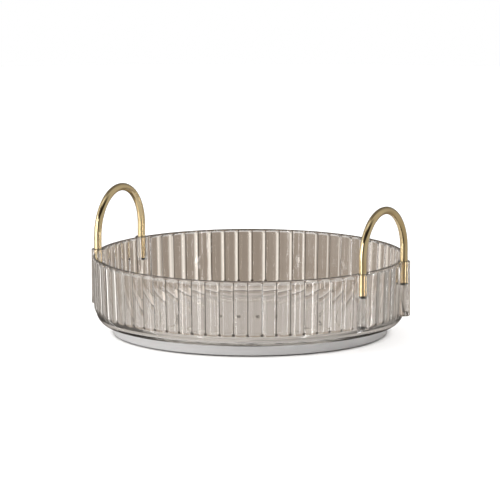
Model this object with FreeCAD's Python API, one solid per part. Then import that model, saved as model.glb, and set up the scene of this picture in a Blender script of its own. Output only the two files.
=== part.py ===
import FreeCAD, Part
import math
import os

# Rotating vanity tray: a clear fluted bowl that turns on a low round base, with
# two gold tube handles plugged into four sockets moulded in the bowl's wall.
#
# Frame: millimetres, +Z up. The origin is on the turning axis, in the plane that
# the foot pads rest on. The X axis runs through the two handles, and -Y is the
# front. Each function below makes one piece where it lies in the assembly.

V = FreeCAD.Vector
UP = V(0, 0, 1)
ORIGIN = V(0, 0, 0)

# ---- foot pads ---------------------------------------------------------------
PAD_D = 12.0
PAD_T = 2.2
PAD_PROUD = 1.0             # how far a pad stands below the base's lower edge
PAD_CIRCLE_R = 98.0
PAD_COUNT = 6
PAD_FIRST_DEG = 15.0
PAD_EDGE = 0.4              # rounding of a pad's lower edge
PAD_FIT = 0.1               # gap round a pad in its recess
PAD_BOSS_WALL = 2.0         # wall of the boss that holds a pad

# ---- turntable base ----------------------------------------------------------
BASE_R = 114.2
BASE_H = 8.6                # lower edge to top face
BASE_PLATE = 2.2            # top plate
BASE_SKIRT = 2.4            # outer wall
BASE_TOP_ROUND = 1.0
BASE_FOOT_ROUND = 0.4
RIB_COUNT = 12
RIB_T = 1.6
RIB_DEPTH = 3.0             # rib below the top plate

# ---- ball bearing ------------------------------------------------------------
RACE_R = 80.0               # pitch radius of the ball circle
BALL_D = 5.0
BALL_COUNT = 24
BALL_FIT = 0.08             # gap between a ball and each race
TRAY_RACE_DEPTH = 1.6       # race groove in the bowl's floor
RACE_FLOOR = 2.0            # material under the race groove in the base
RACE_WALL = 2.2             # wall beside the cage's channel
CAGE_W = 11.0               # radial width of the cage
CAGE_T = 1.6
CAGE_LIFT = 0.35            # gap over and under the cage
CAGE_SIDE_FIT = 0.9         # gap beside the cage in its channel
POCKET_FIT = 0.15           # gap round a ball in its pocket

# ---- centre pivot ------------------------------------------------------------
PIVOT_D = 12.0              # boss under the bowl's floor
PIVOT_FIT = 0.08            # running gap between the boss and the bush
BUSH_WALL = 2.0
BUSH_FLANGE = 2.4           # flange beyond the bush's outside
BUSH_FLANGE_T = 1.2
BUSH_STANDS = 0.3           # flange above the base's top face
BUSH_FIT = 0.04             # gap round the pressed-in bush
HUB_WALL = 2.6
HUB_H = 4.9                 # hub below the base's top face
WASHER_D = 19.0
WASHER_T = 1.0
WASHER_GAP = 0.3            # play between the washer and the hub
SCREW_D = 4.0
SCREW_FIT = 0.02            # gap round the thread in its pilot hole
SCREW_HOLE_FIT = 0.25       # gap round the screw in the washer
SCREW_HEAD_D = 8.0
SCREW_HEAD_H = 2.0
SCREW_BITE = 1.6            # screw tip above the bowl's underside
SCREW_TIP_GAP = 0.4
DRIVE_W = 1.0               # width of a cross-slot arm
DRIVE_SPAN = 4.4
DRIVE_DEPTH = 1.1

# ---- bowl --------------------------------------------------------------------
TRAY_GAP = 0.7              # base's top face to the bowl's underside
TRAY_H = 54.5               # underside to rim
RIM_R = 129.7               # outside of the plain band under the rim
WALL_DRAFT_DEG = 2.25       # the wall leans outwards
WALL_T = 2.5                # wall between two flutes
FLOOR_T = 3.1
SHOULDER_R = 11.0           # outer corner between floor and wall
SHOULDER_H = 8.9            # underside to the foot of the straight wall
INNER_CORNER_R = 8.5
RIM_ROUND = 0.7
UNDERSIDE_ROUND = 0.5

# ---- flutes: convex, upright, with domed ends --------------------------------
FLUTE_DEPTH = 1.5           # crest above the wall
FLUTE_DOME_R = 3.0          # rounding of a flute's two ends
FLUTE_LAP = 0.35            # each flute runs this far under its neighbour
RIM_BAND = 0.6              # rim to the flute tops
FLUTE_FOOT_DROP = 1.0       # flute ends below the foot of the straight wall
FLUTES_LONG = 27            # front and rear runs
FLUTES_SHORT = 5            # runs between the legs of one handle

# ---- handles and sockets -----------------------------------------------------
HANDLE_SPAN = 72.0          # between the two leg axes
HANDLE_RISE = 10.9          # straight leg above the rim
TUBE_D = 6.4
TUBE_WALL = 0.8
LEG_OUTSET = 0.8            # leg axis outside the rim band's radius
LEG_FIT = 0.04              # gap round a leg in its socket
LEG_INSERT = 20.0           # rim to the end of the leg, plug included
SOCKET_WALL = 2.1
SOCKET_FOOT_DROP = 0.4      # socket ends below the foot of the straight wall
SOCKET_ROUND = 0.9
SOCKET_LAND = 7.7           # plain wall each side of a leg's axis
PLUG_HEAD_T = 2.0
PLUG_SPIGOT_L = 7.0
PLUG_FIT = 0.05             # gap round the spigot in the tube
PLUG_BEVEL = 0.5

# ---- levels and radii that follow from the sizes above -----------------------
Z_BASE_FOOT = PAD_PROUD
Z_BASE_TOP = Z_BASE_FOOT + BASE_H
Z_PLATE_UNDER = Z_BASE_TOP - BASE_PLATE
Z_UNDER = Z_BASE_TOP + TRAY_GAP
Z_FLOOR = Z_UNDER + FLOOR_T
Z_SHOULDER = Z_UNDER + SHOULDER_H
Z_RIM = Z_UNDER + TRAY_H

BALL_R = BALL_D / 2
RACE_SECTION_R = BALL_R + BALL_FIT
Z_BALL = Z_UNDER + TRAY_RACE_DEPTH - RACE_SECTION_R
Z_CAGE_TOP = Z_UNDER - CAGE_LIFT
Z_CAGE_UNDER = Z_CAGE_TOP - CAGE_T
Z_CHANNEL = Z_CAGE_UNDER - CAGE_LIFT
Z_RACE_UNDER = Z_BALL - RACE_SECTION_R - RACE_FLOOR
CHANNEL_HALF = CAGE_W / 2 + CAGE_SIDE_FIT
RACE_RING_HALF = CHANNEL_HALF + RACE_WALL

BUSH_BORE_R = PIVOT_D / 2 + PIVOT_FIT
BUSH_R = BUSH_BORE_R + BUSH_WALL
BUSH_FLANGE_R = BUSH_R + BUSH_FLANGE
Z_FLANGE_TOP = Z_BASE_TOP + BUSH_STANDS
Z_FLANGE_UNDER = Z_FLANGE_TOP - BUSH_FLANGE_T
HUB_R = BUSH_FLANGE_R + BUSH_FIT + HUB_WALL
Z_HUB_FOOT = Z_BASE_TOP - HUB_H
Z_PIVOT_FOOT = Z_HUB_FOOT - WASHER_GAP
Z_WASHER_UNDER = Z_PIVOT_FOOT - WASHER_T
Z_SCREW_HEAD = Z_WASHER_UNDER - SCREW_HEAD_H
Z_SCREW_TIP = Z_UNDER + SCREW_BITE

DRAFT = math.tan(math.radians(WALL_DRAFT_DEG))
Z_FLUTE_TOP = Z_RIM - RIM_BAND
Z_FLUTE_FOOT = Z_SHOULDER - FLUTE_FOOT_DROP
LEG_CIRCLE_R = RIM_R + LEG_OUTSET
LEG_Y = HANDLE_SPAN / 2
LEG_X = math.sqrt(LEG_CIRCLE_R ** 2 - LEG_Y ** 2)
LEG_DEG = math.degrees(math.atan2(LEG_Y, LEG_X))
SOCKET_LAND_DEG = math.degrees(SOCKET_LAND / RIM_R)
SOCKET_BORE_R = TUBE_D / 2 + LEG_FIT
SOCKET_R = SOCKET_BORE_R + SOCKET_WALL
TUBE_BORE_R = TUBE_D / 2 - TUBE_WALL
Z_LEG_END = Z_RIM - LEG_INSERT
Z_TUBE_END = Z_LEG_END + PLUG_HEAD_T
Z_ARCH = Z_RIM + HANDLE_RISE


def wall_radius(z):
    """Outside radius of the plain wall, between the flutes, at a height."""
    return RIM_R - (Z_RIM - z) * DRAFT


# ---- helpers -----------------------------------------------------------------

def rounded_corner(back, corner, ahead, radius):
    """Start, middle and end of the arc that rounds one corner of an outline."""
    to_back = (back - corner).normalize()
    to_ahead = (ahead - corner).normalize()
    half_angle = to_back.getAngle(to_ahead) / 2
    bisector = (to_back + to_ahead).normalize()
    reach = radius / math.tan(half_angle)
    centre = corner + bisector * (radius / math.sin(half_angle))
    return corner + to_back * reach, centre - bisector * radius, corner + to_ahead * reach


def section(points):
    """Face in the XZ plane with (x, z) or (x, z, rounding) corners."""
    corners = [V(point[0], 0, point[1]) for point in points]
    spots = []
    for index, point in enumerate(points):
        corner = corners[index]
        if len(point) == 2:
            spots.append((corner, None, corner))
        else:
            ahead = corners[(index + 1) % len(points)]
            spots.append(rounded_corner(corners[index - 1], corner, ahead, point[2]))
    edges = []
    for index, (first, middle, last) in enumerate(spots):
        if middle is not None:
            edges.append(Part.Arc(first, middle, last).toShape())
        following = spots[(index + 1) % len(spots)][0]
        if last.distanceToPoint(following) > 0.001:
            edges.append(Part.LineSegment(last, following).toShape())
    return Part.Face(Part.Wire(edges))


def turned(points):
    """Solid of revolution about the Z axis from the corners of its section."""
    return section(points).revolve(ORIGIN, UP, 360)


def cylinder(radius, z_low, z_high, x=0.0, y=0.0):
    """Upright cylinder between two heights."""
    return Part.makeCylinder(radius, z_high - z_low, V(x, y, z_low), UP)


def ring(inner_r, outer_r, z_low, z_high):
    """Flat ring about the Z axis between two radii and two heights."""
    return turned([(inner_r, z_low), (outer_r, z_low), (outer_r, z_high), (inner_r, z_high)])


def moved(shape, x, y):
    """Copy of a shape moved in plan."""
    copy = shape.copy()
    copy.translate(V(x, y, 0))
    return copy


def spun(shape, degrees):
    """Copy of a shape turned about the Z axis."""
    copy = shape.copy()
    copy.rotate(ORIGIN, UP, degrees)
    return copy


def ring_places(count, radius, first_deg=0.0):
    """Plan positions of equally spaced places on a circle."""
    for index in range(count):
        angle = math.radians(first_deg + 360.0 * index / count)
        yield radius * math.cos(angle), radius * math.sin(angle)


def leg_places():
    """The four legs as (name, x, y): left is -X and front is -Y."""
    for side, x in (("left", -LEG_X), ("right", LEG_X)):
        for end, y in (("front", -LEG_Y), ("rear", LEG_Y)):
            yield side + "_" + end, x, y


# ---- base --------------------------------------------------------------------

def turntable_base():
    """Inverted dish with a bearing channel, a hub, ribs and bosses for the pads."""
    inner_r = BASE_R - BASE_SKIRT
    body = turned([
        (BUSH_R + BUSH_FIT, Z_HUB_FOOT),
        (HUB_R, Z_HUB_FOOT),
        (HUB_R, Z_PLATE_UNDER),
        (RACE_R - RACE_RING_HALF, Z_PLATE_UNDER),
        (RACE_R - RACE_RING_HALF, Z_RACE_UNDER),
        (RACE_R + RACE_RING_HALF, Z_RACE_UNDER),
        (RACE_R + RACE_RING_HALF, Z_PLATE_UNDER),
        (inner_r, Z_PLATE_UNDER),
        (inner_r, Z_BASE_FOOT, BASE_FOOT_ROUND),
        (BASE_R, Z_BASE_FOOT, BASE_FOOT_ROUND),
        (BASE_R, Z_BASE_TOP, BASE_TOP_ROUND),
        (BUSH_FLANGE_R + BUSH_FIT, Z_BASE_TOP),
        (BUSH_FLANGE_R + BUSH_FIT, Z_FLANGE_UNDER),
        (BUSH_R + BUSH_FIT, Z_FLANGE_UNDER),
    ])
    boss_r = PAD_D / 2 + PAD_FIT + PAD_BOSS_WALL
    embed = BASE_PLATE / 2
    stiffeners = []
    for x, y in ring_places(PAD_COUNT, PAD_CIRCLE_R, PAD_FIRST_DEG):
        stiffeners.append(cylinder(boss_r, Z_BASE_FOOT, Z_PLATE_UNDER + embed, x, y))
    rib_start = HUB_R - HUB_WALL / 2
    rib_length = inner_r + BASE_SKIRT / 2 - rib_start
    rib_corner = V(rib_start, -RIB_T / 2, Z_PLATE_UNDER - RIB_DEPTH)
    rib = Part.makeBox(rib_length, RIB_T, RIB_DEPTH + embed, rib_corner)
    for index in range(RIB_COUNT):
        stiffeners.append(spun(rib, 360.0 * index / RIB_COUNT))
    body = body.fuse(stiffeners)
    cuts = [
        ring(RACE_R - CHANNEL_HALF, RACE_R + CHANNEL_HALF, Z_CHANNEL, Z_BASE_TOP + 1),
        Part.makeTorus(RACE_R, RACE_SECTION_R, V(0, 0, Z_BALL), UP),
    ]
    for x, y in ring_places(PAD_COUNT, PAD_CIRCLE_R, PAD_FIRST_DEG):
        cuts.append(cylinder(PAD_D / 2 + PAD_FIT, 0, PAD_T, x, y))
    return body.cut(cuts).removeSplitter()


def foot_pads():
    """Round rubber pads, seated in the base's recesses and resting on Z = 0."""
    pad = turned([(0, 0), (PAD_D / 2, 0, PAD_EDGE), (PAD_D / 2, PAD_T), (0, PAD_T)])
    places = ring_places(PAD_COUNT, PAD_CIRCLE_R, PAD_FIRST_DEG)
    return {"foot_pad_%d" % number: moved(pad, x, y) for number, (x, y) in enumerate(places, 1)}


# ---- bearing -----------------------------------------------------------------

def ball_cage():
    """Flat ring that keeps the balls apart."""
    body = ring(RACE_R - CAGE_W / 2, RACE_R + CAGE_W / 2, Z_CAGE_UNDER, Z_CAGE_TOP)
    pockets = [
        cylinder(BALL_R + POCKET_FIT, Z_CAGE_UNDER - 1, Z_CAGE_TOP + 1, x, y)
        for x, y in ring_places(BALL_COUNT, RACE_R)
    ]
    return body.cut(pockets)


def bearing_balls():
    """All the balls, each a solid of its own."""
    return Part.makeCompound([
        Part.makeSphere(BALL_R, V(x, y, Z_BALL)) for x, y in ring_places(BALL_COUNT, RACE_R)
    ])


# ---- pivot -------------------------------------------------------------------

def pivot_bush():
    """Flanged plain bush pressed into the base's hub."""
    return turned([
        (BUSH_BORE_R, Z_HUB_FOOT),
        (BUSH_R, Z_HUB_FOOT),
        (BUSH_R, Z_FLANGE_UNDER),
        (BUSH_FLANGE_R, Z_FLANGE_UNDER),
        (BUSH_FLANGE_R, Z_FLANGE_TOP),
        (BUSH_BORE_R, Z_FLANGE_TOP),
    ])


def pivot_washer():
    """Washer that the screw clamps under the bowl's pivot boss."""
    return ring(SCREW_D / 2 + SCREW_HOLE_FIT, WASHER_D / 2, Z_WASHER_UNDER, Z_PIVOT_FOOT)


def pivot_screw():
    """Pan-head screw, driven upwards into the pivot boss."""
    tip_r = SCREW_D / 4
    tip_l = SCREW_D / 4
    body = turned([
        (0, Z_SCREW_HEAD),
        (SCREW_HEAD_D / 2, Z_SCREW_HEAD, SCREW_HEAD_H / 2),
        (SCREW_HEAD_D / 2, Z_WASHER_UNDER),
        (SCREW_D / 2, Z_WASHER_UNDER),
        (SCREW_D / 2, Z_SCREW_TIP - tip_l),
        (tip_r, Z_SCREW_TIP),
        (0, Z_SCREW_TIP),
    ])
    across = DRIVE_SPAN / 2
    arm = Part.makeBox(DRIVE_SPAN, DRIVE_W, DRIVE_DEPTH, V(-across, -DRIVE_W / 2, Z_SCREW_HEAD))
    return body.cut([arm, spun(arm, 90)])


# ---- bowl --------------------------------------------------------------------

def flute(pitch_deg):
    """One flute at azimuth 0: a slice of an upright drum, its ends rounded to domes.

    The slice leans outwards with the wall, and its two edges run just under those
    of its neighbours.
    """
    half_chord = RIM_R * math.sin(math.radians(pitch_deg / 2)) + FLUTE_LAP
    drum_r = half_chord ** 2 / (2 * FLUTE_DEPTH) + FLUTE_DEPTH / 2
    half_slice = math.degrees(math.asin(half_chord / drum_r))
    crest_r = RIM_R + FLUTE_DEPTH
    profile = section([
        (0, Z_FLUTE_FOOT),
        (drum_r, Z_FLUTE_FOOT, FLUTE_DOME_R),
        (drum_r, Z_FLUTE_TOP, FLUTE_DOME_R),
        (0, Z_FLUTE_TOP),
    ])
    profile.rotate(ORIGIN, UP, -half_slice)
    solid = profile.revolve(ORIGIN, UP, 2 * half_slice)
    solid.translate(V(crest_r - drum_r, 0, 0))
    solid.rotate(V(crest_r, 0, Z_RIM), V(0, 1, 0), WALL_DRAFT_DEG)
    return solid


def flutes():
    """All the flutes, in four runs between the sockets."""
    short_run = 2 * (LEG_DEG - SOCKET_LAND_DEG)
    long_run = 180.0 - short_run - 4 * SOCKET_LAND_DEG
    pieces = []
    for middle_deg, run, count in (
        (0.0, short_run, FLUTES_SHORT),
        (90.0, long_run, FLUTES_LONG),
        (180.0, short_run, FLUTES_SHORT),
        (270.0, long_run, FLUTES_LONG),
    ):
        pitch = run / count
        one = flute(pitch)
        for index in range(count):
            pieces.append(spun(one, middle_deg + (index - (count - 1) / 2) * pitch))
    return pieces


def tray_bowl():
    """Clear bowl: floor, fluted wall, plain rim band, four sockets, pivot boss and race."""
    sweep = math.asin(SHOULDER_H / SHOULDER_R)
    foot_r = wall_radius(Z_SHOULDER)
    edge_r = foot_r - SHOULDER_R * (1 - math.cos(sweep))
    outside = turned([
        (0, Z_UNDER),
        (edge_r, Z_UNDER),
        (foot_r, Z_SHOULDER - SHOULDER_R * math.tan(sweep / 2), SHOULDER_R),
        (foot_r, Z_SHOULDER),
        (RIM_R, Z_RIM, RIM_ROUND),
        (0, Z_RIM),
    ])
    inside = turned([
        (0, Z_FLOOR),
        (wall_radius(Z_FLOOR) - WALL_T, Z_FLOOR, INNER_CORNER_R),
        (RIM_R - WALL_T, Z_RIM),
        (RIM_R - WALL_T, Z_RIM + 1),
        (0, Z_RIM + 1),
    ])
    body = outside.fuse(flutes()).cut(inside)
    z_socket_foot = Z_SHOULDER - SOCKET_FOOT_DROP
    socket = turned([
        (0, z_socket_foot),
        (SOCKET_R, z_socket_foot, SOCKET_ROUND),
        (SOCKET_R, Z_RIM, SOCKET_ROUND),
        (0, Z_RIM),
    ])
    sockets = [moved(socket, x, y) for _, x, y in leg_places()]
    boss = cylinder(PIVOT_D / 2, Z_PIVOT_FOOT, Z_UNDER + FLOOR_T / 2)
    body = body.fuse(sockets + [boss])
    cuts = [
        Part.makeTorus(RACE_R, RACE_SECTION_R, V(0, 0, Z_BALL), UP),
        cylinder(SCREW_D / 2 + SCREW_FIT, Z_PIVOT_FOOT - 1, Z_SCREW_TIP + SCREW_TIP_GAP),
    ]
    for _, x, y in leg_places():
        cuts.append(cylinder(SOCKET_BORE_R, Z_LEG_END, Z_RIM + 1, x, y))
    return body.cut(cuts)


# ---- handles -----------------------------------------------------------------

def arch(radius):
    """Solid rod along a handle's path, with the legs ending at the plugs."""
    bend = Part.makeTorus(LEG_Y, radius, ORIGIN, V(1, 0, 0)).common(
        Part.makeBox(4 * radius, 4 * LEG_Y, 2 * LEG_Y, V(-2 * radius, -2 * LEG_Y, 0)))
    bend.translate(V(0, 0, Z_ARCH))
    legs = [cylinder(radius, Z_TUBE_END, Z_ARCH, 0, y) for y in (-LEG_Y, LEG_Y)]
    return bend.fuse(legs).removeSplitter()


def handles():
    """The two tube handles."""
    tube = arch(TUBE_D / 2).cut(arch(TUBE_BORE_R))
    return {"left_handle": moved(tube, -LEG_X, 0), "right_handle": moved(tube, LEG_X, 0)}


def leg_plugs():
    """Dark plugs that close the four ends of the handle tubes."""
    spigot_r = TUBE_BORE_R - PLUG_FIT
    plug = turned([
        (0, Z_LEG_END),
        (TUBE_D / 2, Z_LEG_END, PLUG_BEVEL),
        (TUBE_D / 2, Z_TUBE_END),
        (spigot_r, Z_TUBE_END),
        (spigot_r, Z_TUBE_END + PLUG_SPIGOT_L, PLUG_BEVEL),
        (0, Z_TUBE_END + PLUG_SPIGOT_L),
    ])
    return {name + "_plug": moved(plug, x, y) for name, x, y in leg_places()}


# ---- all the pieces ----------------------------------------------------------

def build():
    """Every node's name and shape."""
    nodes = {
        "turntable_base": turntable_base(),
        "ball_cage": ball_cage(),
        "bearing_balls": bearing_balls(),
        "pivot_bush": pivot_bush(),
        "pivot_washer": pivot_washer(),
        "pivot_screw": pivot_screw(),
        "tray_bowl": tray_bowl(),
    }
    nodes.update(foot_pads())
    nodes.update(handles())
    nodes.update(leg_plugs())
    return nodes


os.makedirs("parts", exist_ok=True)
for name, shape in build().items():
    shape.exportStep("parts/%s.step" % name)
    facts = (name, len(shape.Solids), shape.isValid(), shape.Volume)
    print("%-18s solids %2d  valid %s  volume %.0f mm3" % facts)
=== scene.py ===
"""Looks of the rotating fluted vanity tray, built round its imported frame.

The frame holds every rigid piece at its real place and size. This script keeps
those shapes, cuts a real thread on the pivot screw, gives each piece its finish
and sets up a small white studio. Lengths are in metres.
"""

from __future__ import annotations

import logging
import math
from dataclasses import dataclass, field
from enum import Enum
from typing import Union

import bmesh
import bpy
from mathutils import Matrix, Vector


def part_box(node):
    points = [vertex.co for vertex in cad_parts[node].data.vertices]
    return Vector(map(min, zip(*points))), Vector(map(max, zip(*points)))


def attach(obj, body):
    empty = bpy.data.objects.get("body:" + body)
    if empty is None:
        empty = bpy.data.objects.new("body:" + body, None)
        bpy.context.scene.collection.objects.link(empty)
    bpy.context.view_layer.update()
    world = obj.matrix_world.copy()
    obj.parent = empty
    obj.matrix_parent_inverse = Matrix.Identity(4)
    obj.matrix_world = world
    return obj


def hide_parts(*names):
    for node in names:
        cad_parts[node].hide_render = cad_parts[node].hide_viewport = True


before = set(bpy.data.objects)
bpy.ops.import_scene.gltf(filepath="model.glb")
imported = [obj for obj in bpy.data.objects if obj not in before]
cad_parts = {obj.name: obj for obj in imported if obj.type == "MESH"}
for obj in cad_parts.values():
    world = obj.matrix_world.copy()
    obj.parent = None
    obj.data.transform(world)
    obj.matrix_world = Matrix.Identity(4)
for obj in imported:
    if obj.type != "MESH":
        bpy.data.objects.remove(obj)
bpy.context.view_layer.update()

LOG = logging.getLogger("vanity_tray")
MM = 0.001

Colour = tuple[float, float, float]
Stops = list[tuple[float, Colour]]
WHITE: Colour = (1.0, 1.0, 1.0)
BLACK: Colour = (0.0, 0.0, 0.0)
BOX_ENDS = (0, 6)           # the lowest and the highest corner of a bounding box
MIX_FIRST, MIX_SECOND = 6, 7        # the Mix node's two colours
MIX_RESULT = 2
AT_LEAST_ONCE = 0.5         # a ray's depth is above this from its first bounce on


# ---- named options -----------------------------------------------------------

class Op(Enum):
    """What a Math node does."""

    ADD = "ADD"
    SUBTRACT = "SUBTRACT"
    MULTIPLY = "MULTIPLY"
    POWER = "POWER"
    ABSOLUTE = "ABSOLUTE"
    FRACTION = "FRACT"
    ROOT = "SQRT"
    SINE = "SINE"
    COSINE = "COSINE"
    TURN = "ARCTAN2"
    ABOVE = "GREATER_THAN"
    BELOW = "LESS_THAN"
    LARGER = "MAXIMUM"
    SMALLER = "MINIMUM"


class Blend(Enum):
    """How two colours are put together."""

    MIX = "MIX"
    MULTIPLY = "MULTIPLY"


class Side(Enum):
    """The side of the bowl that a handle is on."""

    LEFT = "left"
    RIGHT = "right"


class Leg(Enum):
    """One of a handle's two legs."""

    FRONT = "front"
    REAR = "rear"


# ---- shader expressions ------------------------------------------------------

@dataclass(frozen=True)
class Value:
    """A shader socket that takes part in Python arithmetic.

    Args:
        shader: the node tree that the socket belongs to.
        socket: the output that carries the value.
    """

    shader: "Shader"
    socket: bpy.types.NodeSocket

    def __add__(self, other: "Term") -> "Value":
        """Sum."""
        return self.shader.maths(Op.ADD, self, other)

    def __radd__(self, other: "Term") -> "Value":
        """Sum with the number first."""
        return self.shader.maths(Op.ADD, other, self)

    def __sub__(self, other: "Term") -> "Value":
        """Difference."""
        return self.shader.maths(Op.SUBTRACT, self, other)

    def __rsub__(self, other: "Term") -> "Value":
        """Difference with the number first."""
        return self.shader.maths(Op.SUBTRACT, other, self)

    def __mul__(self, other: "Term") -> "Value":
        """Product."""
        return self.shader.maths(Op.MULTIPLY, self, other)

    def __rmul__(self, other: "Term") -> "Value":
        """Product with the number first."""
        return self.shader.maths(Op.MULTIPLY, other, self)

    def __pow__(self, other: "Term") -> "Value":
        """Power."""
        return self.shader.maths(Op.POWER, self, other)

    def __gt__(self, other: "Term") -> "Value":
        """1 where this value is the larger."""
        return self.shader.maths(Op.ABOVE, self, other)

    def __lt__(self, other: "Term") -> "Value":
        """1 where this value is the smaller."""
        return self.shader.maths(Op.BELOW, self, other)

    def __abs__(self) -> "Value":
        """Size without its sign."""
        return self.shader.maths(Op.ABSOLUTE, self)

    def put(self, operation: Op, other: "Term" = 0.0) -> "Value":
        """Any other Math node on this value.

        Args:
            operation: what the node does.
            other: the second term, for operations that take one.

        Returns:
            The result.
        """
        return self.shader.maths(operation, self, other)

    def held(self, low: float = 0.0, high: float = 1.0) -> "Value":
        """This value, kept between two limits."""
        return self.put(Op.LARGER, low).put(Op.SMALLER, high)

    def from_zero(self) -> "Value":
        """A value from -1 to 1, brought to between 0 and 1."""
        return 0.5 + 0.5 * self

    def output(self, name: str) -> "Value":
        """Another output of the node that this value comes from."""
        return Value(self.shader, self.socket.node.outputs[name])


Term = Union[Value, float]
Fill = Union[Value, float, tuple]


class Shader:
    """The node tree of one material or of the world."""

    def __init__(self, owner: Union[bpy.types.Material, bpy.types.World]) -> None:
        """Starts an empty tree.

        Args:
            owner: the material or world that the tree belongs to.
        """
        owner.use_nodes = True
        self.tree = owner.node_tree
        self.tree.nodes.clear()

    def node(self, kind: str, settings: dict | None = None, inputs: dict | None = None,
             output: Union[int, str] = 0) -> Value | None:
        """Adds one node.

        Args:
            kind: the node's type.
            settings: its properties, set before its inputs; "stops" fills a colour ramp.
            inputs: values or links for its sockets, by name or index.
            output: the output to return.

        Returns:
            That output, or nothing from a node that has none.
        """
        made = self.tree.nodes.new(kind)
        for name, setting in (settings or {}).items():
            if name == "stops":
                self._fill_ramp(made.color_ramp, setting)
            else:
                setattr(made, name, setting)
        for name, filling in (inputs or {}).items():
            self._fill(made.inputs[name], filling)
        return Value(self, made.outputs[output]) if made.outputs else None

    @staticmethod
    def _fill_ramp(ramp: bpy.types.ColorRamp, stops: Stops) -> None:
        """Gives a colour ramp its stops.

        Args:
            ramp: the ramp.
            stops: the positions and colours that it passes.
        """
        while len(ramp.elements) < len(stops):
            ramp.elements.new(1.0)
        for element, (position, colour) in zip(ramp.elements, stops):
            element.position = position
            element.color = (*colour, 1.0)

    def _fill(self, socket: bpy.types.NodeSocket, filling: Fill) -> None:
        """Links a value to a socket, or sets the socket's own value.

        Args:
            socket: the input.
            filling: a value to link, or the number, colour or vector to set.
        """
        if isinstance(filling, Value):
            self.tree.links.new(filling.socket, socket)
        elif isinstance(filling, tuple) and socket.type == "RGBA":
            socket.default_value = (*filling, 1.0)
        else:
            socket.default_value = filling

    def maths(self, operation: Op, first: Term, second: Term = 0.0) -> Value:
        """One Math node.

        Args:
            operation: what it does.
            first: the first term.
            second: the second term, for operations that take one.

        Returns:
            The result.
        """
        terms = {0: first, 1: second}
        return self.node("ShaderNodeMath", {"operation": operation.value}, terms)

    def place(self) -> Value:
        """The point on the piece, in the object's own frame."""
        return self.node("ShaderNodeTexCoord", output="Object")

    def axes(self, where: Value) -> tuple[Value, Value, Value]:
        """The three parts of a point or a direction."""
        x = self.node("ShaderNodeSeparateXYZ", inputs={0: where})
        return x, x.output("Y"), x.output("Z")

    def noise(self, where: Value, scale: float, detail: float = 2.0) -> Value:
        """Smooth noise from 0 to 1.

        Args:
            where: the point.
            scale: features per metre.
            detail: number of finer octaves.

        Returns:
            The noise.
        """
        inputs = {"Vector": where, "Scale": scale, "Detail": detail}
        return self.node("ShaderNodeTexNoise", inputs=inputs)

    def stretched(self, where: Value, scale: tuple[float, float, float]) -> Value:
        """A point scaled by a different amount along each axis."""
        return self.node("ShaderNodeVectorMath", {"operation": "MULTIPLY"}, {0: where, 1: scale})

    def mixed(self, factor: Term, first: Fill, second: Fill, blend: Blend = Blend.MIX) -> Value:
        """Two colours put together.

        Args:
            factor: share of the second, from 0 to 1.
            first: the first colour.
            second: the second colour.
            blend: how they are put together.

        Returns:
            The colour.
        """
        return self.node("ShaderNodeMix", {"data_type": "RGBA", "blend_type": blend.value},
                         {0: factor, MIX_FIRST: first, MIX_SECOND: second}, MIX_RESULT)

    def ramp(self, along: Value, stops: Stops) -> Value:
        """Colour that changes with a value from 0 to 1.

        Args:
            along: the value.
            stops: the positions and colours that it passes.

        Returns:
            The colour.
        """
        return self.node("ShaderNodeValToRGB", {"stops": stops}, {0: along})

    def bump(self, height: Value, depth: float) -> Value:
        """Surface normal of a relief.

        Args:
            height: the relief, from 0 to 1.
            depth: its real depth.

        Returns:
            The normal.
        """
        inputs = {"Height": height, "Distance": depth, "Strength": 1.0}
        return self.node("ShaderNodeBump", inputs=inputs)

    def surface(self, **inputs: Fill) -> None:
        """Ends a material in one Principled surface.

        Args:
            inputs: its sockets, with _ for each space in a name.
        """
        named = {name.replace("_", " "): filling for name, filling in inputs.items()}
        shaded = self.node("ShaderNodeBsdfPrincipled", inputs=named)
        self.node("ShaderNodeOutputMaterial", inputs={"Surface": shaded})


def deepened(colour: Colour, share: float) -> Colour:
    """A colour with only a share of its light."""
    return tuple(channel * share for channel in colour)


# ---- finishes ----------------------------------------------------------------

@dataclass(frozen=True)
class Finish:
    """A finish that a piece can wear.

    Args:
        name: the material's name.
        slot: the record's material slot that it belongs to; not used.
    """

    name: str
    slot: str

    def paint(self, shader: Shader) -> None:
        """Builds the finish's nodes."""
        raise NotImplementedError

    def material(self) -> bpy.types.Material:
        """The finish's material, made once.

        Returns:
            The material, which every piece with this finish shares.
        """
        found = bpy.data.materials.get(self.name)
        if found is None:
            found = bpy.data.materials.new(self.name)
            self.paint(Shader(found))
        return found


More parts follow.
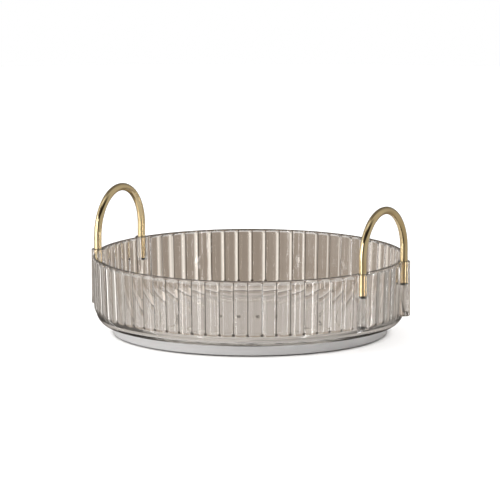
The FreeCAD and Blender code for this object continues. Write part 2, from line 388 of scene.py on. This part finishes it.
@dataclass(frozen=True)
class Fluting:
    """Where the bowl's flutes run, so that the painted groove shade can follow them.

    Args:
        rim: level of the rim.
        long_pitch: turn from one flute to the next in the front and rear runs.
        short_pitch: the same between a handle's legs.
        leg_turn: turn from the middle of a handle to its legs.
        foot: the flutes' lower ends, below the rim.
        head: their upper ends, below the rim.
        band: height of the rim's rounded top.
        wall_radius: outside of the wall at the rim, between two flutes.
        lean: how far the wall leans out for each metre up.
        skin: how far inside the wall still counts as its outside.
    """

    rim: float
    long_pitch: float = math.radians(5.174)
    short_pitch: float = math.radians(5.041)
    leg_turn: float = math.radians(16.015)
    foot: float = 45.8 * MM
    head: float = 1.0 * MM
    band: float = 0.6 * MM
    wall_radius: float = 129.7 * MM
    lean: float = math.tan(math.radians(2.25))
    skin: float = 0.95 * MM

    def from_groove(self, x: Value, y: Value) -> Value:
        """Distance from the nearest groove, as a share of a flute's width.

        Args:
            x: place along the object's width.
            y: place along its depth.

        Returns:
            0 in a groove and 0.5 on a crest.
        """
        turn = abs(y).put(Op.TURN, abs(x))
        from_front = (math.pi / 2 - turn) * (1 / self.long_pitch)
        from_side = turn * (1 / self.short_pitch)
        in_long = turn > self.leg_turn
        count = in_long * from_front + (1 - in_long) * from_side
        return abs(0.5 - count.put(Op.FRACTION))

    def on_outside(self, x: Value, y: Value, z: Value) -> Value:
        """Where the flutes are.

        Args:
            x: place along the object's width.
            y: place along its depth.
            z: height above the resting plane.

        Returns:
            1 on the wall's outside, between the flutes' two ends, and 0 elsewhere.
        """
        radius = (x * x + y * y).put(Op.ROOT)
        inner = self.wall_radius - self.rim * self.lean - self.skin
        outside = (radius - z * self.lean) > inner
        return outside * (z > self.rim - self.foot) * (z < self.rim - self.head)

    def near_foot(self, z: Value, height: float) -> Value:
        """1 in a short stretch above the flutes' lower ends and 0 elsewhere."""
        return (z > self.rim - self.foot) * (z < self.rim - self.foot + height)


@dataclass(frozen=True)
class ClearPlastic(Finish):
    """Polished clear moulding with a faint champagne tint.

    Shade is painted into its colour in its grooves, on its rim's top
    and where it turns away from the eye.

    Args:
        fluting: the flutes that the grooves lie between.
        tint: colour of light that has passed through one wall.
        groove: painted shade in the groove between two flutes.
        edge: painted shade where the surface turns away from the eye.
        top: painted shade on the rim's top, a thin dark line along the rim.
        groove_half: half the width of the groove's painted shade line, as a share of a flute.
        groove_flare: how much wider it is at its foot.
        groove_edge: sharpness of the line's edge.
        foot_flare: height of the wider foot.
        edge_start: share of turning away at which the edge shade begins.
        edge_rise: how quickly it grows after that.
        shoulder_edge: share of the edge shade below the flutes.
        drift_share: the tint at its deepest, as a share of its own light.
        drift_scale: patches of deeper tint per metre.
        wave_scale: mould waves per metre.
        wave_stretch: how much shorter the waves are along each axis.
        wave_depth: depth of the waves.
        haze: least roughness, and how much the haze adds.
        haze_scale: patches of haze per metre.
        refraction: index of refraction.
    """

    fluting: Fluting
    tint: Colour = (0.93, 0.905, 0.88)
    groove: Colour = (0.035, 0.027, 0.022)
    edge: Colour = (0.06, 0.05, 0.042)
    top: Colour = (0.12, 0.095, 0.08)
    groove_half: float = 0.045
    groove_flare: float = 0.07
    groove_edge: float = 40.0
    foot_flare: float = 2.2 * MM
    edge_start: float = 0.78
    edge_rise: float = 9.0
    shoulder_edge: float = 0.15
    drift_share: float = 0.97
    drift_scale: float = 12.0
    wave_scale: float = 45.0
    wave_stretch: tuple[float, float, float] = (1.0, 1.0, 0.35)
    wave_depth: float = 0.006 * MM
    haze: tuple[float, float] = (0.01, 0.02)
    haze_scale: float = 60.0
    refraction: float = 1.49

    def groove_shade_mask(self, x: Value, y: Value, z: Value) -> Value:
        """1 where shade is painted in the grooves between flutes and 0 elsewhere.

        Args:
            x: place along the object's width.
            y: place along its depth.
            z: height above the resting plane.

        Returns:
            The mask, which opens into a small triangle of painted shade between two domed ends.
        """
        half = self.groove_half + self.fluting.near_foot(z, self.foot_flare) * self.groove_flare
        line = ((half - self.fluting.from_groove(x, y)) * self.groove_edge).held()
        return line * self.fluting.on_outside(x, y, z)

    def paint(self, shader: Shader) -> None:
        """Tint that drifts a little, painted shade, faint mould waves and a trace of haze.

        Args:
            shader: the material's tree.
        """
        where = shader.place()
        x, y, z = shader.axes(where)
        long_waves = shader.stretched(where, self.wave_stretch)
        waves = shader.noise(long_waves, self.wave_scale, detail=1.0)
        drift = shader.noise(where, self.drift_scale)
        # painted shade where the surface turns away from the eye, weaker below the flutes
        away = shader.node("ShaderNodeLayerWeight", inputs={"Blend": 0.5}, output="Facing")
        on_wall = z > self.fluting.rim - self.fluting.foot
        turned = ((away - self.edge_start) * self.edge_rise).held()
        turned = turned * (self.shoulder_edge + on_wall).held()
        body = shader.mixed(drift, deepened(self.tint, self.drift_share), self.tint)
        body = shader.mixed(turned, body, self.edge)
        # painted shade on the rim's top
        body = shader.mixed(z > self.fluting.rim - self.fluting.band, body, self.top)
        # the groove mask paints shade in the grooves between flutes
        shader.surface(
            Base_Color=shader.mixed(self.groove_shade_mask(x, y, z), body, self.groove),
            Roughness=self.haze[0] + self.haze[1] * shader.noise(where, self.haze_scale, 4.0),
            IOR=self.refraction,
            Transmission_Weight=1.0,
            Normal=shader.bump(waves, self.wave_depth),
        )


@dataclass(frozen=True)
class GoldPlate(Finish):
    """Polished pale gold plating on a drawn tube.

    Args:
        light: colour of the brighter plating.
        deep: colour of the deeper plating.
        haze: least roughness, and how much the polishing haze adds.
        haze_scale: patches of haze per metre.
        drift_scale: patches of deeper plating per metre.
        line_scale: drawing lines per metre.
        line_stretch: how much shorter the lines' pattern is along each axis.
        line_depth: depth of the lines.
    """

    light: Colour = (0.88, 0.74, 0.47)
    deep: Colour = (0.78, 0.61, 0.34)
    haze: tuple[float, float] = (0.05, 0.08)
    haze_scale: float = 300.0
    drift_scale: float = 40.0
    line_scale: float = 1500.0
    line_stretch: tuple[float, float, float] = (1.0, 1.0, 0.15)
    line_depth: float = 0.003 * MM

    def paint(self, shader: Shader) -> None:
        """Slight colour drift, polishing haze and fine drawing lines.

        Args:
            shader: the material's tree.
        """
        where = shader.place()
        lines = shader.noise(shader.stretched(where, self.line_stretch), self.line_scale)
        drift = shader.noise(where, self.drift_scale, 3.0)
        shader.surface(
            Base_Color=shader.mixed(drift, self.deep, self.light),
            Metallic=1.0,
            Roughness=self.haze[0] + self.haze[1] * shader.noise(where, self.haze_scale, 4.0),
            Normal=shader.bump(lines, self.line_depth),
        )


@dataclass(frozen=True)
class Moulded(Finish):
    """Plain moulded plastic or rubber with a fine grain.

    Args:
        colour: its colour.
        shine: its mean roughness.
        grains: grains per metre.
        grain_depth: depth of the grain.
        cloud_share: its colour at the deepest, as a share of its own light.
        cloud_scale: patches of deeper colour per metre.
        spread: how far the roughness goes either side of its mean.
    """

    colour: Colour = (0.7, 0.7, 0.7)
    shine: float = 0.4
    grains: float = 1800.0
    grain_depth: float = 0.01 * MM
    cloud_share: float = 0.93
    cloud_scale: float = 30.0
    spread: float = 0.05

    def paint(self, shader: Shader) -> None:
        """Colour with a faint cloud in it, and a grain in the surface.

        Args:
            shader: the material's tree.
        """
        where = shader.place()
        grain = shader.noise(where, self.grains)
        cloud = shader.noise(where, self.cloud_scale, 3.0)
        deep = deepened(self.colour, self.cloud_share)
        shader.surface(
            Base_Color=shader.mixed(cloud, deep, self.colour),
            Roughness=self.shine - self.spread + 2 * self.spread * grain,
            Normal=shader.bump(grain, self.grain_depth),
        )


@dataclass(frozen=True)
class PlainMetal(Finish):
    """Bare or zinc-plated steel.

    Args:
        colour: its colour.
        shine: its mean roughness.
        mottle_share: its colour at the deepest, as a share of its own light.
        mottle_scale: mottles per metre.
        mottle_depth: depth of the mottles.
        spread: how far the roughness goes either side of its mean.
    """

    colour: Colour = (0.66, 0.67, 0.69)
    shine: float = 0.25
    mottle_share: float = 0.88
    mottle_scale: float = 900.0
    mottle_depth: float = 0.005 * MM
    spread: float = 0.06

    def paint(self, shader: Shader) -> None:
        """Metal with a mottled shine.

        Args:
            shader: the material's tree.
        """
        mottle = shader.noise(shader.place(), self.mottle_scale, 3.0)
        deep = deepened(self.colour, self.mottle_share)
        shader.surface(
            Base_Color=shader.mixed(mottle, deep, self.colour),
            Metallic=1.0,
            Roughness=self.shine - self.spread + 2 * self.spread * mottle,
            Normal=shader.bump(mottle, self.mottle_depth),
        )


GOLD = GoldPlate("pale_gold_plate", "gold")
BASE_GREY = Moulded("light_grey_plastic", "base_plastic", (0.60, 0.595, 0.595), 0.42)
PAD_GREY = Moulded("grey_rubber", "pad_rubber", (0.35, 0.34, 0.33), 0.75, 900.0, 0.03 * MM)
PLUG_BLACK = Moulded("black_plug", "plug_plastic", (0.012, 0.011, 0.010), 0.45)
CAGE_WHITE = Moulded("natural_cage_plastic", "cage_plastic", (0.80, 0.79, 0.75), 0.45)
BUSH_WHITE = Moulded("natural_acetal", "bush_plastic", (0.82, 0.80, 0.76), 0.40)
BALL_STEEL = PlainMetal("bearing_steel", "ball_steel", (0.72, 0.73, 0.75), 0.10)
ZINC = PlainMetal("bright_zinc", "zinc_steel", (0.66, 0.68, 0.71), 0.26)


# ---- turned meshes -----------------------------------------------------------

@dataclass
class Turned:
    """A mesh made of rings round an upright axis, from its lower end to its upper.

    Args:
        name: the piece's name.
        sides: number of points on each ring.
        rings: the points of each ring, in order.
        sharp: edges that turn more than this are left sharp.
    """

    name: str
    sides: int
    rings: list[list[Vector]] = field(default_factory=list)
    sharp: float = math.radians(35)

    def object(self) -> bpy.types.Object:
        """Closes the rings into one solid skin.

        Returns:
            The new object, in the scene.
        """
        skin = bmesh.new()
        rows = [[skin.verts.new(point) for point in ring] for ring in self.rings]
        for lower, upper in zip(rows, rows[1:]):
            for this in range(self.sides):
                after = (this + 1) % self.sides
                skin.faces.new((lower[this], lower[after], upper[after], upper[this]))
        skin.faces.new(rows[0][::-1])
        skin.faces.new(rows[-1])
        mesh = bpy.data.meshes.new(self.name)
        for face in skin.faces:
            face.smooth = True
        skin.to_mesh(mesh)
        skin.free()
        mesh.set_sharp_from_angle(angle=self.sharp)
        made = bpy.data.objects.new(self.name, mesh)
        bpy.context.scene.collection.objects.link(made)
        return made


# ---- sub-assemblies ----------------------------------------------------------

@dataclass
class SubAssembly:
    """Pieces that are built and dressed together."""

    def finishes(self) -> dict[str, Finish]:
        """The finish of each frame node in the group."""
        raise NotImplementedError

    def build(self) -> None:
        """Makes the group's own meshes, if not all its pieces come from the frame."""

    def dress(self) -> None:
        """Gives every frame node in the group its finish."""
        for name, finish in self.finishes().items():
            self.wear(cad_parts[name], finish)

    @staticmethod
    def wear(piece: bpy.types.Object, finish: Finish) -> None:
        """Puts a finish on a piece.

        Args:
            piece: the piece.
            finish: its finish.
        """
        piece.data.materials.clear()
        piece.data.materials.append(finish.material())
        low, high = (Vector(piece.bound_box[corner]) for corner in BOX_ENDS)
        size = " x ".join(f"{side / MM:.1f}" for side in high - low)
        LOG.info("%s: %s, %s mm", piece.name, finish.name, size)


@dataclass
class Turntable(SubAssembly):
    """The base that stands still, with its rubber pads and the bush in its hub.

    Args:
        pads: number of rubber pads under the base.
    """

    pads: int = 6

    def finishes(self) -> dict[str, Finish]:
        """Grey base, darker pads and a white bush."""
        pads = {f"foot_pad_{number + 1}": PAD_GREY for number in range(self.pads)}
        return {"turntable_base": BASE_GREY, "pivot_bush": BUSH_WHITE, **pads}


@dataclass
class BallBearing(SubAssembly):
    """The ring of balls that the bowl runs on, and their cage."""

    def finishes(self) -> dict[str, Finish]:
        """Steel balls in a white cage."""
        return {"ball_cage": CAGE_WHITE, "bearing_balls": BALL_STEEL}


@dataclass
class FlutedBowl(SubAssembly):
    """The clear fluted bowl.

    Args:
        fluting: where its flutes run.
    """

    fluting: Fluting = field(default_factory=lambda: Fluting(rim=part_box("tray_bowl")[1].z))

    def finishes(self) -> dict[str, Finish]:
        """Clear plastic whose painted groove shade follows the flutes."""
        return {"tray_bowl": ClearPlastic("clear_champagne_plastic", "clear_plastic", self.fluting)}

    def dress(self) -> None:
        """Also keeps the clear bowl from throwing an opaque shadow."""
        super().dress()
        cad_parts["tray_bowl"].visible_shadow = False


@dataclass
class CentrePivot(SubAssembly):
    """The washer and the thread-forming screw that hold the bowl to its base.

    Args:
        head_radius: outside of the screw's head.
        head_height: height of the head.
        head_round: rounding of the head's lower edge.
        crest_radius: outside of the thread.
        core_radius: bottom of the thread.
        pitch: rise of the thread in one turn.
        neck: plain length under the head.
        tip: length of the tapered tip.
        tip_share: radius at the tip's end, as a share of the core's.
        slot_half: half the width of one arm of the cross recess.
        slot_reach: half the length of one arm.
        slot_depth: depth of the recess.
        slot_wall: run of the recess's sloping wall.
        sides: points on each ring.
        face_steps: rings across the head's face.
        round_steps: rings over its rounded edge.
        shank_steps: rings up the shank.
        crest_sharpness: the larger, the narrower the thread's ridge.
    """

    head_radius: float = 4.0 * MM
    head_height: float = 2.0 * MM
    head_round: float = 1.0 * MM
    crest_radius: float = 1.98 * MM
    core_radius: float = 1.45 * MM
    pitch: float = 1.4 * MM
    neck: float = 0.4 * MM
    tip: float = 1.2 * MM
    tip_share: float = 0.6
    slot_half: float = 0.5 * MM
    slot_reach: float = 2.2 * MM
    slot_depth: float = 1.1 * MM
    slot_wall: float = 0.18 * MM
    sides: int = 96
    face_steps: int = 30
    round_steps: int = 6
    shank_steps: int = 84
    crest_sharpness: float = 1.7

    def finishes(self) -> dict[str, Finish]:
        """Bright zinc on the washer."""
        return {"pivot_washer": ZINC}

    def build(self) -> None:
        """Makes the threaded screw in the plain one's place."""
        low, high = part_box("pivot_screw")
        screw = Turned("threaded_pivot_screw", self.sides)
        screw.rings += self.head_rings(low.z)
        screw.rings += self.shank_rings(low.z + self.head_height, high.z)
        piece = screw.object()
        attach(piece, "tray")
        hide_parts("pivot_screw")
        self.wear(piece, ZINC)

    def ring(self, radius: float, level: float) -> list[Vector]:
        """One plain ring."""
        turns = (2 * math.pi * side / self.sides for side in range(self.sides))
        return [Vector((radius * math.cos(turn), radius * math.sin(turn), level)) for turn in turns]

    def recess(self, point: Vector) -> float:
        """Depth of the cross recess in the head's face.

        Args:
            point: a point of the face.

        Returns:
            The depth there, which is 0 beside the recess.
        """
        def inside(half: float, offset: float) -> float:
            """1 within half of the arm's middle line, falling to 0 over its wall."""
            return min(max((half - abs(offset)) / self.slot_wall, 0.0), 1.0)

        across = inside(self.slot_half, point.y) * inside(self.slot_reach, point.x)
        along = inside(self.slot_half, point.x) * inside(self.slot_reach, point.y)
        return self.slot_depth * max(across, along)

    def head_rings(self, face: float) -> list[list[Vector]]:
        """The head, from the middle of its face outwards and up.

        Args:
            face: level of its face.

        Returns:
            The rings.
        """
        flat = self.head_radius - self.head_round
        rings = []
        for step in range(1, self.face_steps + 1):
            ring = self.ring(flat * step / self.face_steps, face)
            rings.append([point + Vector((0, 0, self.recess(point))) for point in ring])
        for step in range(1, self.round_steps + 1):
            turn = math.pi / 2 * step / self.round_steps
            rings.append(self.ring(flat + self.head_round * math.sin(turn),
                                   face + self.head_round * (1 - math.cos(turn))))
        rings.append(self.ring(self.head_radius, face + self.head_height))
        return rings

    def shank_rings(self, start: float, end: float) -> list[list[Vector]]:
        """The threaded shank and its tapered tip.

        Args:
            start: level of the head's top.
            end: level of the tip.

        Returns:
            The rings.
        """
        rings = [self.ring(self.core_radius, start)]
        for step in range(self.shank_steps + 1):
            level = start + (end - start) * step / self.shank_steps
            fade = min(max((level - start - self.neck) / self.pitch, 0.0), 1.0)
            taper = min((end - level) / self.tip, 1.0)
            core = self.core_radius * (self.tip_share + (1 - self.tip_share) * taper)
            ring = []
            for point in self.ring(1.0, level):
                turn = math.atan2(point.y, point.x) / (2 * math.pi)
                phase = ((level - start) / self.pitch - turn) % 1.0
                crest = max(1 - self.crest_sharpness * abs(2 * phase - 1), 0.0)
                radius = core + (self.crest_radius - self.core_radius) * crest * fade * taper
                ring.append(Vector((point.x * radius, point.y * radius, level)))
            rings.append(ring)
        return rings


@dataclass
class Handle(SubAssembly):
    """One arched gold handle and the dark plugs in the ends of its legs.

    Args:
        side: the side of the bowl that it is on.
    """

    side: Side

    def finishes(self) -> dict[str, Finish]:
        """Gold tube and black plugs."""
        plugs = {f"{self.side.value}_{leg.value}_plug": PLUG_BLACK for leg in Leg}
        return {f"{self.side.value}_handle": GOLD, **plugs}


# ---- studio ------------------------------------------------------------------

def direction(azimuth: float, elevation: float) -> Vector:
    """Unit vector from the object towards a place round it.

    Args:
        azimuth: degrees; 0 is the front and 90 is the right handle's side.
        elevation: degrees above the horizon.

    Returns:
        The vector.
    """
    turn, rise = math.radians(azimuth), math.radians(elevation)
    level = math.cos(rise)
    return Vector((math.sin(turn) * level, -math.cos(turn) * level, math.sin(rise)))


@dataclass
class StudioCamera:
    """A long lens, slightly above the tray.

    Args:
        azimuth: degrees round from the front.
        elevation: degrees above the horizon.
        distance: from the middle of the base's lower edge.
        lens: focal length in millimetres.
        aim_height: level on the turning axis that the lens points at.
        edge_height: level of the base's lower edge.
        reach: how far the camera sees.
    """

    azimuth: float = 29.26
    elevation: float = 10.52
    distance: float = 4.932
    lens: float = 426.7
    aim_height: float = 68.6 * MM
    edge_height: float = 1.0 * MM
    reach: float = 50.0

    def build(self) -> None:
        """Adds the camera and makes it the scene's own."""
        data = bpy.data.cameras.new("studio_camera")
        data.lens = self.lens
        data.clip_end = self.reach
        camera = bpy.data.objects.new("studio_camera", data)
        bpy.context.scene.collection.objects.link(camera)
        away = direction(self.azimuth, self.elevation) * self.distance
        camera.location = Vector((0, 0, self.edge_height)) + away
        aim = Vector((0, 0, self.aim_height)) - camera.location
        camera.rotation_euler = aim.to_track_quat("-Z", "Y").to_euler()
        bpy.context.scene.camera = camera
        LOG.info("camera at %s", tuple(round(part, 3) for part in camera.location))


@dataclass
class Softbox:
    """A rectangular soft light that faces the tray.

    Args:
        name: its name.
        azimuth: degrees round from the front.
        elevation: degrees above the horizon.
        power: watts.
        distance: from the tray.
        width: its width.
        height: its height.
        mirrored: whether polished and clear pieces show it.
        only: the frame nodes that it lights, or none for all of them.
    """

    name: str
    azimuth: float
    elevation: float
    power: float
    distance: float = 1.6
    width: float = 0.08
    height: float = 2.0
    mirrored: bool = True
    only: tuple[str, ...] = ()

    def build(self) -> None:
        """Adds the light."""
        data = bpy.data.lights.new(self.name, "AREA")
        data.shape = "RECTANGLE"
        data.size = self.width
        data.size_y = self.height
        data.energy = self.power
        lamp = bpy.data.objects.new(self.name, data)
        bpy.context.scene.collection.objects.link(lamp)
        lamp.location = direction(self.azimuth, self.elevation) * self.distance
        lamp.rotation_euler = (-lamp.location).to_track_quat("-Z", "Y").to_euler()
        lamp.visible_glossy = self.mirrored
        lamp.visible_transmission = self.mirrored
        if self.only:
            lit = bpy.data.collections.new(f"{self.name}_lit")
            for node in self.only:
                lit.objects.link(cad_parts[node])
            lamp.light_linking.receiver_collection = lit
        LOG.info("light %s", self.name)


@dataclass
class Floor:
    """A plain white floor, which light passing through the clear plastic ignores.

    It glows a little far from the tray, where the lights fall off.

    Args:
        radius: its radius.
        white: how white it is.
        shine: its roughness.
        glow_start: distance from the tray at which the glow starts.
        glow_rise: how much it grows for each metre after that.
        glow: the most that it glows.
        sides: points on its edge.
    """

    radius: float = 1.6
    white: float = 0.92
    shine: float = 0.9
    glow_start: float = 0.45
    glow_rise: float = 0.6
    glow: float = 0.5
    sides: int = 96

    def build(self) -> None:
        """Adds the floor."""
        mesh = bpy.data.meshes.new("studio_floor")
        shape = bmesh.new()
        bmesh.ops.create_circle(shape, cap_ends=True, segments=self.sides, radius=self.radius)
        shape.to_mesh(mesh)
        shape.free()
        floor = bpy.data.objects.new("studio_floor", mesh)
        bpy.context.scene.collection.objects.link(floor)
        material = bpy.data.materials.new("white_floor")
        shader = Shader(material)
        x, y, _ = shader.axes(shader.place())
        away = (x * x + y * y).put(Op.ROOT)
        glow = ((away - self.glow_start) * self.glow_rise).held(high=self.glow)
        shader.surface(
            Base_Color=(self.white,) * 3,
            Roughness=self.shine,
            Emission_Color=shader.mixed(glow, BLACK, WHITE),
            Emission_Strength=1.0,
        )
        mesh.materials.append(material)
        floor.visible_transmission = False
        floor.visible_glossy = False
        LOG.info("floor of %.1f m", 2 * self.radius)


@dataclass
class Surroundings:
    """What is round the tray.

    It is white where the camera sees it, and matt pieces are lit more from the
    left. Polished ones mirror a bright left wall, a narrow dark gap, a dim right
    wall and a dark rear. The clear plastic bends the light of narrow bright strips
    on a warm wall. Ramps run once round, from behind the tray through its left,
    its front and its right, or from straight down to straight up.

    Args:
        front: azimuth of the camera, in degrees.
        strip_light: colour of the bright strips.
        strip_wall: colour of the wall between them.
        strips: number of strips round the tray.
        strip_narrowness: the larger, the narrower the strips.
        low_light: colour well below the horizon.
        low_start: sine of the elevation below which that colour begins.
        low_rise: how quickly it grows after that.
        front_gain: how quickly the dark high in front begins, going round.
        ramp_start: turn from the X axis to the ramps' start, and one turn more so
            that a share of a turn is never below 0.
        left_light: light on matt pieces from the left.
        right_light: light on matt pieces from the right.
        walls: what polished pieces mirror round the tray.
        inner: what light that turns round inside the clear plastic meets.
        lower: how the mirrored walls dim below the horizon.
        upper: how they dim high in front.
    """

    front: float
    strip_light: Colour = (1.00, 0.94, 0.86)
    strip_wall: Colour = (0.34, 0.285, 0.235)
    strips: int = 14
    strip_narrowness: float = 14.0
    low_light: Colour = (0.86, 0.84, 0.82)
    low_start: float = -0.30
    low_rise: float = 6.0
    front_gain: float = -2.0
    ramp_start: float = 1.75
    left_light: Colour = (1.10, 1.09, 1.08)
    right_light: Colour = (0.05, 0.05, 0.05)
    walls: Stops = field(default_factory=lambda: [
        (0.00, (0.16, 0.15, 0.14)),
        (0.08, (0.20, 0.19, 0.18)),
        (0.20, (0.50, 0.48, 0.45)),
        (0.27, (1.20, 1.17, 1.12)),
        (0.44, (1.28, 1.25, 1.20)),
        (0.46, (0.02, 0.02, 0.02)),
        (0.52, (0.02, 0.02, 0.02)),
        (0.55, (0.40, 0.385, 0.345)),
        (0.82, (0.52, 0.50, 0.46)),
        (0.92, (0.20, 0.19, 0.18)),
        (1.00, (0.16, 0.15, 0.14)),
    ])
    inner: Stops = field(default_factory=lambda: [
        (0.00, (0.56, 0.53, 0.50)),
        (0.20, (0.50, 0.47, 0.43)),
        (0.28, (1.15, 1.12, 1.08)),
        (0.44, (1.20, 1.17, 1.12)),
        (0.47, (0.20, 0.18, 0.16)),
        (0.52, (0.20, 0.18, 0.16)),
        (0.56, (0.32, 0.30, 0.275)),
        (0.85, (0.36, 0.34, 0.315)),
        (1.00, (0.56, 0.53, 0.50)),
    ])
    lower: Stops = field(default_factory=lambda: [
        (0.00, (0.84, 0.79, 0.73)),
        (0.36, (0.86, 0.82, 0.77)),
        (0.44, WHITE),
    ])
    upper: Stops = field(default_factory=lambda: [
        (0.72, WHITE),
        (0.78, (0.06, 0.05, 0.04)),
        (0.92, (0.08, 0.07, 0.06)),
        (0.98, (0.80, 0.80, 0.80)),
    ])

    def mirrored(self, shader: Shader, share: Value, rise: Value) -> Value:
        """What polished pieces see.

        Args:
            shader: the world's tree.
            share: share of a full turn.
            rise: sine of the elevation.

        Returns:
            The colour.
        """
        height = rise.from_zero()
        in_front = (self.front_gain * (share * (2 * math.pi)).put(Op.COSINE)).held()
        upper = shader.mixed(in_front, WHITE, shader.ramp(height, self.upper))
        walls, lower = shader.ramp(share, self.walls), shader.ramp(height, self.lower)
        walls = shader.mixed(1.0, walls, lower, Blend.MULTIPLY)
        return shader.mixed(1.0, walls, upper, Blend.MULTIPLY)

    def bent(self, shader: Shader, turn: Value, rise: Value) -> Value:
        """What is seen straight through the clear plastic.

        Args:
            shader: the world's tree.
            turn: direction round the tray, in radians.
            rise: sine of the elevation.

        Returns:
            The colour.
        """
        strip = (turn * self.strips).put(Op.COSINE).from_zero() ** self.strip_narrowness
        below = ((self.low_start - rise) * self.low_rise).held()
        wall = shader.mixed(strip, self.strip_wall, self.strip_light)
        return shader.mixed(below, wall, self.low_light)

    def build(self) -> None:
        """Makes the world."""
        world = bpy.data.worlds.new("white_studio")
        bpy.context.scene.world = world
        shader = Shader(world)
        x, y, z = shader.axes(shader.node("ShaderNodeTexCoord", output="Generated"))
        turn = y.put(Op.TURN, x)
        start = self.ramp_start - self.front / 360.0
        share = (turn * (0.5 / math.pi) + start).put(Op.FRACTION)
        lit_side = (share * (2 * math.pi)).put(Op.SINE).from_zero()
        seen = shader.node("ShaderNodeLightPath", output="Is Camera Ray")
        glossy = seen.output("Is Glossy Ray")
        through = seen.output("Transmission Depth") > AT_LEAST_ONCE
        unmirrored = seen.output("Glossy Depth") < AT_LEAST_ONCE
        straight = seen.output("Is Transmission Ray") * unmirrored
        light = shader.mixed(lit_side, self.right_light, self.left_light)
        light = shader.mixed(glossy, light, self.mirrored(shader, share, z))
        light = shader.mixed(glossy * through, light, shader.ramp(share, self.inner))
        light = shader.mixed(straight, light, self.bent(shader, turn, z))
        light = shader.mixed(seen, light, WHITE)
        inputs = {"Color": light, "Strength": 1.0}
        background = shader.node("ShaderNodeBackground", inputs=inputs)
        shader.node("ShaderNodeOutputWorld", inputs={"Surface": background})
        LOG.info("world %s", world.name)


@dataclass
class Studio:
    """The camera, floor, world and lights.

    Args:
        camera: the camera, which the lights are placed from.
        bowl_only: the nodes that the right-hand strips light.
        bounces: how often light may bounce in all.
        glossy_bounces: how often it may be mirrored.
        clear_bounces: how often it may pass a clear surface.
    """

    camera: StudioCamera = field(default_factory=StudioCamera)
    bowl_only: tuple[str, ...] = ("tray_bowl",)
    bounces: int = 24
    glossy_bounces: int = 16
    clear_bounces: int = 24

    def lights(self) -> list[Softbox]:
        """A large box overhead and upright strips round the front.

        Returns:
            The lights, placed from the camera's azimuth.
        """
        front = self.camera.azimuth
        return [
            Softbox("top_softbox", front + 180, 80, power=41.0, distance=1.8,
                    width=2.0, height=2.0, mirrored=False),
            Softbox("far_left_strip", front - 128, 0, power=1.0, width=0.06),
            Softbox("left_strip", front - 78, 0, power=2.4),
            Softbox("front_left_strip", front - 38, 0, power=4.5, width=0.11),
            Softbox("front_right_strip", front + 42, 0, power=6.5, width=0.11,
                    only=self.bowl_only),
            Softbox("right_strip", front + 95, 0, power=4.5, only=self.bowl_only),
        ]

    def build(self) -> None:
        """Adds everything, and lets light go far enough through clear plastic."""
        for item in (self.camera, Floor(), Surroundings(self.camera.azimuth), *self.lights()):
            item.build()
        bpy.context.scene.view_settings.view_transform = "Standard"
        paths = bpy.context.scene.cycles
        paths.max_bounces = self.bounces
        paths.glossy_bounces = self.glossy_bounces
        paths.transmission_bounces = self.clear_bounces


# ---- main --------------------------------------------------------------------

def main() -> None:
    """Builds and dresses each sub-assembly, then the studio."""
    logging.basicConfig(level=logging.INFO, format="%(name)s: %(message)s")
    parts = [Turntable(), BallBearing(), FlutedBowl(), CentrePivot()]
    parts += [Handle(side) for side in Side]
    for part in parts:
        part.build()
        part.dress()
    Studio().build()


if __name__ == "__main__":
    main()
